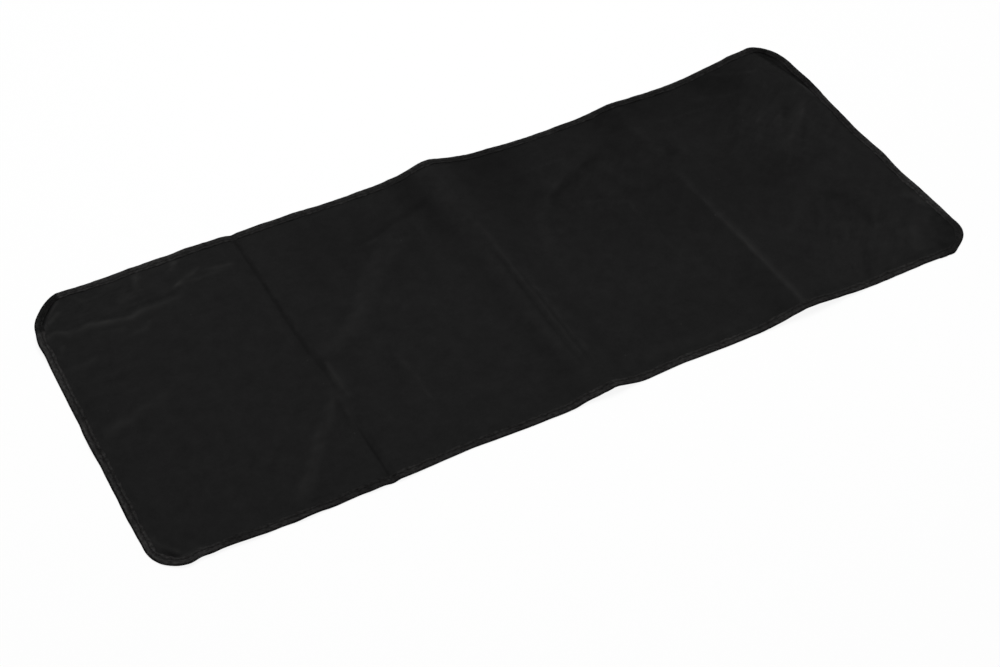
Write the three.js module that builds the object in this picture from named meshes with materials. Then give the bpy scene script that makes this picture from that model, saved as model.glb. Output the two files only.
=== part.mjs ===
// A keyboard dust cover: one flat panel of cloth with rounded corners, its raw edge wrapped in a
// folded binding tape. It lies spread out. Three creases, left by storing it folded in four, run
// across it, and soft swells and two lifted corners raise it here and there between them.
//
// Millimetres. +X runs along the length and +Y towards the far long edge, and +Z is up from the
// surface that the cover lies on. The origin is on that surface, under the middle of the cover.

import * as THREE from 'three';

// ---- Driving sizes

const coverLength = 980; // over the binding
const coverWidth = 400;
const cornerRadius = 40;
const clothThickness = 1;
const tapeThickness = 1;
const bindingWidth = 10; // how far the tape reaches in from the edge, on both faces
const foldChamfer = 1.1; // where the tape turns round the edge
const gap = 0.3; // between the cloth and the tape

const slopeFoot = 18; // past the binding the cloth slopes down to the surface, this far in

// Creases run right across, from the near edge to the far one, and lean and change on the way.
// at is the place along the length; a shift moves one end of the crease along it. A reach is how
// far the rise spreads to that side. A ridge stands at its own line, a valley beside it.
const creases = [
  {
    name: 'left valley', shape: 'valley', at: -243,
    nearShift: 0, farShift: -3.5, nearHeight: 2, farHeight: 1.3,
    nearLeftReach: 48, nearRightReach: 46, farLeftReach: 52, farRightReach: 44,
  },
  {
    name: 'middle ridge', shape: 'tent', at: 4,
    nearShift: 10.5, farShift: -8.5, nearHeight: 7.6, farHeight: 13.8,
    nearLeftReach: 52, nearRightReach: 30, farLeftReach: 54, farRightReach: 64,
  },
  {
    name: 'right ridge', shape: 'tent', at: 257,
    nearShift: 0, farShift: -7, nearHeight: 8.5, farHeight: 5.4,
    nearLeftReach: 64, nearRightReach: 84, farLeftReach: 66, farRightReach: 70,
  },
];

// A swell follows a path of points from its start to its end, fades out at both, and spreads to
// either side of the way it runs. Those that run off the cover start or end outside it.
const swells = [
  {
    name: 'long diagonal', path: [[-10, 172], [-268, -64]],
    startHeight: 1.6, endHeight: 3.2, leftReach: 30, rightReach: 24,
  },
  {
    name: 'diagonal past the valley', path: [[-222, -44], [-356, -222]],
    startHeight: 3.2, endHeight: 2, leftReach: 22, rightReach: 18,
  },
  {
    name: 'left end', path: [[-520, -36], [-340, 36]],
    startHeight: 2.4, endHeight: 1, leftReach: 22, rightReach: 22,
  },
  {
    name: 'arc beside the middle', path: [[60, -36], [108, 122]],
    startHeight: 1, endHeight: 2.4, leftReach: 24, rightReach: 26,
  },
  {
    name: 'arc towards the right', path: [[84, 86], [236, 156]],
    startHeight: 2, endHeight: 1.4, leftReach: 24, rightReach: 18,
  },
  {
    name: 'right end', path: [[500, 110], [316, -6]],
    startHeight: 1.6, endHeight: 1.6, leftReach: 24, rightReach: 28,
  },
  {
    name: 'lower right', path: [[420, -6], [286, -120]],
    startHeight: 2, endHeight: 1, leftReach: 30, rightReach: 26,
  },
  {
    name: 'near left edge', path: [[-482, -206], [-366, -196]],
    startHeight: 3.4, endHeight: 2, leftReach: 30, rightReach: 30,
  },
  {
    name: 'far left corner', path: [[-424, 232], [-452, 190], [-476, 152], [-504, 106]],
    shape: 'tent', startHeight: 5, endHeight: 5, leftReach: 50, rightReach: 24,
  },
  {
    // It stands up to a ridge and falls steeply beyond.
    name: 'far right corner', path: [[440, 240], [447.5, 191], [461.4, 147], [483, 94]],
    shape: 'cliff', startHeight: 19.4, endHeight: 0.2, leftReach: 100, rightReach: 124,
    leftEndReach: 12, rightEndReach: 50, fadeShare: 0.02,
  },
];

// The long and short edges aren't quite straight: each row pushes a stretch of one side out or in.
const edgeWaves = [
  { side: 'far', at: -320, reach: 100, out: 2.2 },
  { side: 'far', at: -180, reach: 50, out: 1.2 },
  { side: 'far', at: -110, reach: 110, out: -1.2 },
  { side: 'far', at: 60, reach: 60, out: 1 },
  { side: 'far', at: 145, reach: 230, out: -5.6 },
  { side: 'far', at: 310, reach: 60, out: -1 },
  { side: 'near', at: -432, reach: 60, out: -2 },
  { side: 'near', at: -245, reach: 34, out: 1 },
  { side: 'near', at: -165, reach: 70, out: -1.6 },
  { side: 'near', at: -60, reach: 70, out: 1.2 },
  { side: 'near', at: 52, reach: 50, out: 0.6 },
  { side: 'near', at: 105, reach: 60, out: -0.5 },
  { side: 'near', at: 175, reach: 80, out: 1.4 },
  { side: 'near', at: 400, reach: 110, out: -1 },
  { side: 'left', at: -15, reach: 34, out: 1 },
  { side: 'right', at: -140, reach: 50, out: 1 },
  { side: 'right', at: -60, reach: 34, out: -2 },
  { side: 'right', at: 25, reach: 50, out: -2.4 },
  { side: 'right', at: 118, reach: 50, out: 0.5 },
  { side: 'right', at: 160, reach: 40, out: -1.6 },
];
const waveDepth = 140; // a wave dies out this far in from its side
const leanReach = 120; // how far from a crease its lean is felt
const swellFade = 0.2; // the share of its length over which a swell fades at each end

// The far left corner bends down, which draws its outline in.
const drawnCorner = { side: -1, end: 1, pull: 8.4, reach: 72 };

// ---- Mesh steps

const columnSpacing = 26;
const rowSpacing = 21;
const creaseColumns = [-36, -20, -10, -4, 0, 4, 10, 20, 36]; // beside each crease
const cornerSteps = 6;

// ---- Small sums

const halfLength = coverLength / 2;
const halfWidth = coverWidth / 2;
const innerHalfLength = halfLength - cornerRadius;
const innerHalfWidth = halfWidth - cornerRadius;
const wrappedInset = tapeThickness + gap; // the cloth's raw edge, in from the outline
const wrappedRise = tapeThickness + gap; // the cloth's underside inside the binding
const bindingThickness = 2 * (tapeThickness + gap) + clothThickness;

function mix(a, b, share) {
  return a + (b - a) * share;
}

function clamp01(value) {
  return Math.min(1, Math.max(0, value));
}

function smoothStep(value) {
  const share = clamp01(value);
  return share * share * (3 - 2 * share);
}

// One at zero, and level with zero from -1 outwards and from 1 outwards.
function bell(offset) {
  return Math.abs(offset) < 1 ? (1 - offset * offset) ** 2 : 0;
}

const valleyLip = 0.22; // where a valley's sides are highest, as a share of the reach

// One at zero, on a rounded top, and falling to nothing at -1 and 1.
function pinched(offset, rounding, power) {
  return Math.max(0, 1 + rounding - Math.hypot(offset, rounding)) ** power;
}

const crossSections = {
  sharp: (offset) => pinched(offset, 0.2, 2),
  tent: (offset) => pinched(offset, 0.14, 1.6),
  cliff: (offset) => (offset > 0 ? pinched(offset, 0.08, 1.3) : bell(offset)),
  valley: (offset) => bell(offset) * smoothStep(Math.abs(offset) / valleyLip),
};

// ---- Height of the cover's underside above the surface

function creaseLift(crease, x, y) {
  const farShare = (y + halfWidth) / coverWidth;
  const reach = x < crease.at
    ? mix(crease.nearLeftReach, crease.farLeftReach, farShare)
    : mix(crease.nearRightReach, crease.farRightReach, farShare);
  const height = mix(crease.nearHeight, crease.farHeight, farShare);
  return height * crossSections[crease.shape]((x - crease.at) / reach);
}

// The share of a path's length passed at its point nearest to x, y, and how far to its left they
// are.
function followPath(path, x, y) {
  const runs = path.slice(1).map(([toX, toY], index) => {
    const [fromX, fromY] = path[index];
    const runX = toX - fromX;
    const runY = toY - fromY;
    return { fromX, fromY, runX, runY, length: Math.hypot(runX, runY) };
  });
  const whole = runs.reduce((sum, run) => sum + run.length, 0);
  let passed = 0;
  let nearest = { distance: Infinity };
  for (const { fromX, fromY, runX, runY, length } of runs) {
    const dx = x - fromX;
    const dy = y - fromY;
    const along = clamp01((dx * runX + dy * runY) / length ** 2);
    const distance = Math.hypot(dx - along * runX, dy - along * runY);
    if (distance < nearest.distance) {
      const side = Math.sign(runX * dy - runY * dx);
      nearest = { distance, leftOf: side * distance, share: (passed + along * length) / whole };
    }
    passed += length;
  }
  return nearest;
}

function swellLift(swell, x, y) {
  const { share, leftOf } = followPath(swell.path, x, y);
  const fadeShare = swell.fadeShare ?? swellFade;
  const fade = smoothStep(share / fadeShare) * smoothStep((1 - share) / fadeShare);
  const reach = leftOf > 0
    ? mix(swell.leftReach, swell.leftEndReach ?? swell.leftReach, share)
    : mix(swell.rightReach, swell.rightEndReach ?? swell.rightReach, share);
  const section = crossSections[swell.shape ?? 'sharp'];
  return mix(swell.startHeight, swell.endHeight, share) * fade * section(leftOf / reach);
}

function liftAt(x, y) {
  let lift = 0;
  for (const crease of creases) lift += creaseLift(crease, x, y);
  for (const swell of swells) lift += swellLift(swell, x, y);
  return lift;
}

// ---- From the even plan to the uneven one

function leanOf(x, y) {
  const farShare = (y + halfWidth) / coverWidth;
  let lean = 0;
  for (const crease of creases) {
    lean += mix(crease.nearShift, crease.farShift, farShare) * bell((x - crease.at) / leanReach);
  }
  return lean;
}

function waveAt(side, along, distanceIn) {
  const depth = clamp01(1 - distanceIn / waveDepth) ** 2;
  let out = 0;
  for (const wave of edgeWaves) {
    if (wave.side === side) out += wave.out * bell((along - wave.at) / wave.reach) * depth;
  }
  return out;
}

function unevenPlan(x, y) {
  const cornerX = drawnCorner.side * halfLength;
  const cornerY = drawnCorner.end * halfWidth;
  const pull = drawnCorner.pull * bell(Math.hypot(x - cornerX, y - cornerY) / drawnCorner.reach);
  const acrossPull = pull * Math.SQRT1_2;
  return {
    x: x + leanOf(x, y)
      + waveAt('right', y, halfLength - x) - waveAt('left', y, halfLength + x)
      - drawnCorner.side * acrossPull,
    y: y + waveAt('far', x, halfWidth - y) - waveAt('near', x, halfWidth + y)
      - drawnCorner.end * acrossPull,
  };
}

// ---- Stations

function evenStations(from, to, spacing) {
  const count = Math.round((to - from) / spacing);
  return Array.from({ length: count + 1 }, (_, step) => mix(from, to, step / count));
}

function lengthStations() {
  const creaseReach = Math.max(...creaseColumns);
  const clearOfCreases = (x) => creases.every(
    (crease) => Math.abs(x - crease.at) > creaseReach + columnSpacing / 3,
  );
  const plain = evenStations(-innerHalfLength, innerHalfLength, columnSpacing).filter(clearOfCreases);
  const besideCreases = creases.flatMap((crease) => creaseColumns.map((step) => crease.at + step));
  return [...plain, ...besideCreases].sort((a, b) => a - b);
}

const columns = lengthStations();
const rows = evenStations(-innerHalfWidth, innerHalfWidth, rowSpacing);

// Stations round the edge, counter-clockwise from the near left. Each holds a point of the inner
// rectangle, as a column and a row, and the direction from there out to the edge. Round a corner
// several stations share one point and fan out from it.
function edgeStations() {
  const lastColumn = columns.length - 1;
  const lastRow = rows.length - 1;
  const stations = [];
  const add = (column, row, angle) => stations.push({
    column, row, outX: Math.cos(angle), outY: Math.sin(angle),
  });
  const addCorner = (column, row, fromAngle) => {
    for (let step = 1; step < cornerSteps; step += 1) {
      add(column, row, fromAngle + (step / cornerSteps) * (Math.PI / 2));
    }
  };
  for (let column = 0; column <= lastColumn; column += 1) add(column, 0, -Math.PI / 2);
  addCorner(lastColumn, 0, -Math.PI / 2);
  for (let row = 0; row <= lastRow; row += 1) add(lastColumn, row, 0);
  addCorner(lastColumn, lastRow, 0);
  for (let column = lastColumn; column >= 0; column -= 1) add(column, lastRow, Math.PI / 2);
  addCorner(0, lastRow, Math.PI / 2);
  for (let row = lastRow; row >= 0; row -= 1) add(0, row, Math.PI);
  addCorner(0, 0, Math.PI);
  return stations;
}

const stations = edgeStations();

function pointAtInset(station, inset) {
  const reach = cornerRadius - inset;
  return {
    x: columns[station.column] + reach * station.outX,
    y: rows[station.row] + reach * station.outY,
  };
}

// The binding and the cloth in it lie level from side to side, so they share one height a station.
function stripLift(station) {
  const middle = pointAtInset(station, bindingWidth / 2);
  return liftAt(middle.x, middle.y);
}

// ---- Closed meshes

class ClosedMesh {
  constructor() {
    this.positions = [];
    this.indices = [];
  }

  addPoint(x, y, z) {
    const plan = unevenPlan(x, y);
    this.positions.push(plan.x, plan.y, z);
    return this.positions.length / 3 - 1;
  }

  addTriangle(a, b, c) {
    if (a !== b && b !== c && c !== a) this.indices.push(a, b, c);
  }

  // Four points counter-clockwise from above. Both ways of facing share the diagonal from a to c,
  // so a sheet keeps its thickness, and the tape and the cloth under it stay parallel.
  addQuad(a, b, c, d, facesUp) {
    if (facesUp) {
      this.addTriangle(a, b, c);
      this.addTriangle(a, c, d);
    } else {
      this.addTriangle(a, c, b);
      this.addTriangle(a, d, c);
    }
  }

  addBand(outerRing, innerRing, facesUp) {
    for (let here = 0; here < stations.length; here += 1) {
      const next = (here + 1) % stations.length;
      this.addQuad(outerRing[here], outerRing[next], innerRing[next], innerRing[here], facesUp);
    }
  }

  toMesh(name, material) {
    const geometry = new THREE.BufferGeometry();
    geometry.setAttribute('position', new THREE.Float32BufferAttribute(this.positions, 3));
    geometry.setIndex(this.indices);
    geometry.computeVertexNormals();
    const mesh = new THREE.Mesh(geometry, material);
    mesh.name = name;
    return mesh;
  }
}

// ---- The cloth panel

// From the raw edge inwards. The inner rectangle of columns and rows follows the last of these.
const ringInsets = [wrappedInset, bindingWidth, slopeFoot, 24, 31];

function clothRise(station, inset) {
  if (inset <= bindingWidth) return stripLift(station) + wrappedRise;
  const point = pointAtInset(station, inset);
  return liftAt(point.x, point.y);
}

// One face of the cloth, thick above the underside: its outermost ring of points is handed back.
function addClothFace(mesh, thick, facesUp) {
  const rings = ringInsets.map((inset) => stations.map((station) => {
    const point = pointAtInset(station, inset);
    return mesh.addPoint(point.x, point.y, clothRise(station, inset) + thick);
  }));
  const grid = columns.map((x) => rows.map((y) => mesh.addPoint(x, y, liftAt(x, y) + thick)));
  rings.push(stations.map((station) => grid[station.column][station.row]));

  for (let ring = 1; ring < rings.length; ring += 1) {
    mesh.addBand(rings[ring - 1], rings[ring], facesUp);
  }
  for (let column = 1; column < columns.length; column += 1) {
    const left = grid[column - 1];
    const right = grid[column];
    for (let row = 1; row < rows.length; row += 1) {
      mesh.addQuad(left[row - 1], right[row - 1], right[row], left[row], facesUp);
    }
  }
  return rings[0];
}

function makeCoverCloth() {
  const mesh = new ClosedMesh();
  const lowerEdge = addClothFace(mesh, 0, false);
  const upperEdge = addClothFace(mesh, clothThickness, true);
  mesh.addBand(lowerEdge, upperEdge, true);
  const material = new THREE.MeshStandardMaterial({
    name: 'black_cloth', color: 0x1b1b1b, roughness: 0.72, metalness: 0,
  });
  return mesh.toMesh('cover_cloth', material);
}

// ---- The binding tape

// Its section: a tape folded round the edge, open towards the middle of the cover.
const bindingSection = [
  { inset: bindingWidth, rise: 0 },
  { inset: foldChamfer, rise: 0 },
  { inset: 0, rise: foldChamfer },
  { inset: 0, rise: bindingThickness - foldChamfer },
  { inset: foldChamfer, rise: bindingThickness },
  { inset: bindingWidth, rise: bindingThickness },
  { inset: bindingWidth, rise: bindingThickness - tapeThickness },
  { inset: tapeThickness, rise: bindingThickness - tapeThickness },
  { inset: tapeThickness, rise: tapeThickness },
  { inset: bindingWidth, rise: tapeThickness },
];

function makeEdgeBinding() {
  const mesh = new ClosedMesh();
  const rings = bindingSection.map(({ inset, rise }) => stations.map((station) => {
    const point = pointAtInset(station, inset);
    return mesh.addPoint(point.x, point.y, stripLift(station) + rise);
  }));
  bindingSection.forEach((corner, index) => {
    const following = (index + 1) % bindingSection.length;
    const runsOutwards = bindingSection[following].inset < corner.inset;
    if (runsOutwards) mesh.addBand(rings[following], rings[index], false);
    else mesh.addBand(rings[index], rings[following], true);
  });
  const material = new THREE.MeshStandardMaterial({
    name: 'binding_tape', color: 0x242321, roughness: 0.62, metalness: 0,
  });
  return mesh.toMesh('edge_binding', material);
}

const dustCover = new THREE.Group();
dustCover.add(makeCoverCloth(), makeEdgeBinding());

export default dustCover;
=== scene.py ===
import math

import bmesh
import bpy
import numpy as np
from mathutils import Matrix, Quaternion, Vector


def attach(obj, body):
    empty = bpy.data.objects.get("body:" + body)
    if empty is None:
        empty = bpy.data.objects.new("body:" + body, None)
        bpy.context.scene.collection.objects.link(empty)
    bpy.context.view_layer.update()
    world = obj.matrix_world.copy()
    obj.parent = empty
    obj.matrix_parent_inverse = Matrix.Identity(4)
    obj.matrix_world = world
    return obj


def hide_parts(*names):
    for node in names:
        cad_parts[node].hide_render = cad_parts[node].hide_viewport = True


# A keyboard dust cover, spread out flat: a black cloth panel, its folded edge binding and the
# stitching through it. +X runs along the cover and +Y to its far long edge.

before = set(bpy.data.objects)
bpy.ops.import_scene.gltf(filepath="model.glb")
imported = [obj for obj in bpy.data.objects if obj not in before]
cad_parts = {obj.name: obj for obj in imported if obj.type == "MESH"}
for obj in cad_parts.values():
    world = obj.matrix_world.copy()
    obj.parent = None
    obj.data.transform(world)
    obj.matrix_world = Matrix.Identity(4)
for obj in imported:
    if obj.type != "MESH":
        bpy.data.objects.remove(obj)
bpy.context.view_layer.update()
mm = 0.001  # the tables hold millimetres, and the meshes are made in metres

cover = {
    "length": 980, "width": 400, "cornerRadius": 40, "bindingWidth": 10,
    "leanReach": 120,  # how far from a crease its lean is felt
    "waveDepth": 140,  # an edge wave dies out this far in
    # where each edge stands out or is drawn in: place along it, reach and how far
    "edgeWaves": {
        "far": [(-462, 18, 1.9), (-425, 20, -1.2), (-368, 22, 1), (-320, 100, 2.2), (-290, 24, 1),
                (-235, 22, -1), (-180, 50, 1.2), (-110, 110, -1.2), (-49, 20, 1.3), (60, 60, 1),
                (76, 22, 0.8), (135, 40, -0.8), (145, 230, -5.6), (212, 30, -0.9), (268, 24, -1),
                (310, 60, -1), (340, 24, 0.9), (400, 20, -1.1), (449, 18, 1.3)],
        "near": [(-461, 18, 1.6), (-444, 14, -0.9), (-432, 60, -2), (-365, 18, -1.1), (-335, 18, 0.9),
                 (-245, 34, 1), (-165, 70, -1.6), (-60, 70, 1.2), (-30, 14, -1.2), (7, 22, 1),
                 (52, 50, 0.6), (105, 60, -0.5), (175, 80, 1.4), (400, 110, -1), (457, 9, 0.9),
                 (471, 17, -1.6)],
        "left": [(-15, 34, 1), (135, 20, 0.9)],
        "right": [(-176, 24, 1.8), (-140, 50, 1), (-60, 34, -2), (25, 50, -2.4), (118, 50, 0.5),
                  (160, 40, -1.6)],
    },
    # the far left corner bends down, which draws its outline in
    "drawnCorner": {"sideX": -1, "sideY": 1, "pull": 8.4, "reach": 72},
}
innerX = cover["length"] / 2 - cover["cornerRadius"]
innerY = cover["width"] / 2 - cover["cornerRadius"]


def bell(offset):
    return np.clip(1 - np.square(offset), 0, None) ** 2


def smoothStep(value):
    share = np.clip(value, 0, 1)
    return share * share * (3 - 2 * share)


def mix(pair, share):
    return pair[0] + (pair[1] - pair[0]) * share


def pinched(offset, rounding, power):
    distance = np.sqrt(np.square(offset) + rounding**2) - rounding
    return np.clip(1 - distance, 0, None) ** power


# how a fold falls off across itself, from its line at 0 to its reach at 1
crossSections = {
    "soft": bell,
    "sharp": lambda offset: pinched(offset, 0.2, 2),
    "tent": lambda offset: pinched(offset, 0.14, 1.6),
    "cliff": lambda offset: np.where(offset > 0, pinched(offset, 0.08, 1.3), bell(offset)),
    "valley": lambda offset: bell(offset) * smoothStep(np.abs(offset) / 0.22),
    "band": lambda offset: smoothStep((1 - np.abs(offset)) / 0.4),
}


def ripples(x, y, wavelength, seed, count=14):
    # smooth unevenness of about unit height, from seeded waves that run every way
    draws = np.random.default_rng(seed).random((count, 3))
    total = 0
    for heading, phase, stretch in draws:
        turn = 2 * math.pi / (wavelength * (0.7 + 0.7 * stretch))
        heading *= 2 * math.pi
        total = total + np.sin((x * math.cos(heading) + y * math.sin(heading)) * turn + 6.3 * phase)
    return total / math.sqrt(count / 2)


def uneven(waves, x, y):
    # ripples of several sizes: wavelength, height and seed of each
    return sum(height * ripples(x, y, wavelength, seed) for wavelength, height, seed in waves)


# The three storage creases run right across. A pair is the near end's value and the far end's.
creases = [
    {"at": -243, "shape": "valley", "shift": (0, -3.5), "height": (2, 1.3),
     "leftReach": (48, 52), "rightReach": (46, 44)},
    {"at": 4, "shape": "tent", "shift": (10.5, -8.5), "height": (7.6, 13.8),
     "leftReach": (52, 54), "rightReach": (30, 64)},
    {"at": 257, "shape": "tent", "shift": (0, -7), "height": (8.5, 5.4),
     "leftReach": (64, 66), "rightReach": (84, 70)},
]


def pairOf(value):
    return value if isinstance(value, tuple) else (value, value)


def fold(path, height, reach, toneAndPaintedLight=0, shape="sharp", fade=(0.2, 0.2), wobble=None, endReach=None):
    # A fold follows a path: its height at the two ends, its reach to the left and right of the way
    # it runs (endReach where that changes along it), the light and shade painted into its colour,
    # which lightens it above 0 and darkens it below, the shares of its length that it fades in and
    # out over, and how far its line wobbles.
    return {"path": path, "height": pairOf(height), "reach": pairOf(reach), "toneAndPaintedLight": toneAndPaintedLight, "shape": shape,
            "fade": fade, "wobble": wobble, "endReach": endReach or pairOf(reach)}


swells = [  # in the even plan, and the binding follows them
    fold([(-10, 172), (-268, -64)], (1.6, 3.2), (30, 24)),
    fold([(-222, -44), (-356, -222)], (3.2, 2), (22, 18)),
    fold([(-520, -36), (-340, 36)], (2.4, 1), 22),
    fold([(60, -36), (108, 122)], (1, 2.4), (24, 26)),
    fold([(84, 86), (236, 156)], (2, 1.4), (24, 18)),
    fold([(500, 110), (316, -6)], 1.6, (24, 28)),
    fold([(420, -6), (286, -120)], (2, 1), (30, 26)),
    fold([(-482, -206), (-366, -196)], (3.4, 2), 30),
    # the far left corner bends down past a chord
    fold([(-424, 232), (-452, 190), (-476, 152), (-504, 106)], 5, (50, 24), shape="tent"),
    # the far right corner stands up to a ridge and falls steeply beyond it
    fold([(440, 240), (447.5, 191), (453, 169), (461.4, 147), (469.8, 130), (478.3, 108), (483, 94)],
         (19.4, 0.2), (100, 124), shape="cliff", fade=(0.01, 0.03), endReach=(12, 50)),
]

# broad painted light and shade without a height of their own, in the even plan
tones = [
    fold([(20, 215), (240, 185), (330, 150)], 0, (150, 140), -0.18, "soft", fade=(0.05, 0.3)),
    fold([(200, 150), (300, 190), (420, 120)], 0, 110, -0.28, "soft", fade=(0.4, 0.2)),
    fold([(60, 60), (240, 30), (420, 10)], 0, (110, 120), -0.17, "soft"),
    fold([(-42, 205), (-34, 130), (-30, 40)], 0, (28, 24), -0.2, "soft", fade=(0.05, 0.6)),
    fold([(74, 205), (66, 130), (60, 10)], 0, (60, 50), -0.24, "soft", fade=(0.05, 0.5)),
    fold([(-30, -60), (-29, -140), (-26, -206)], 0, 20, -0.08, "soft", fade=(0.4, 0.05)),
    fold([(-210, 150), (-50, 120)], 0, (80, 120), -0.16, "soft", fade=(0.2, 0.05)),
    fold([(60, -150), (200, -150)], 0, (70, 60), -0.05, "soft"),
    fold([(290, -170), (470, -140)], 0, (80, 60), 0.09, "soft"),
    fold([(-480, 170), (-300, 150)], 0, 90, 0.05, "soft"),
]

# Where handling has crumpled the cloth: middle, reach each way, the way its streaks run in
# degrees, their width, height, and the light and shade painted along them.
crumples = [
    ((-405, 165), (100, 60), 25, 12, 0.12, 0.1),
    ((-440, 80), (60, 70), 10, 16, 0.1, 0.06),
    ((410, 60), (140, 150), 42, 15, 0.14, 0.09),
    ((390, -120), (140, 110), 48, 15, 0.14, 0.09),
    ((170, 90), (160, 130), 35, 16, 0.1, 0.06),
    ((-130, 20), (140, 200), 42, 22, 0.06, 0.035),
    ((-380, -110), (130, 120), 60, 18, 0.06, 0.04),
]

# the streaks are longer than they are wide, and each place has coarse and fine ones
streaks = {"stretch": 2.6, "coarse": 0.6, "fine": 0.4, "fineWidth": 0.45, "coarseSeed": 60, "fineSeed": 80}

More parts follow.
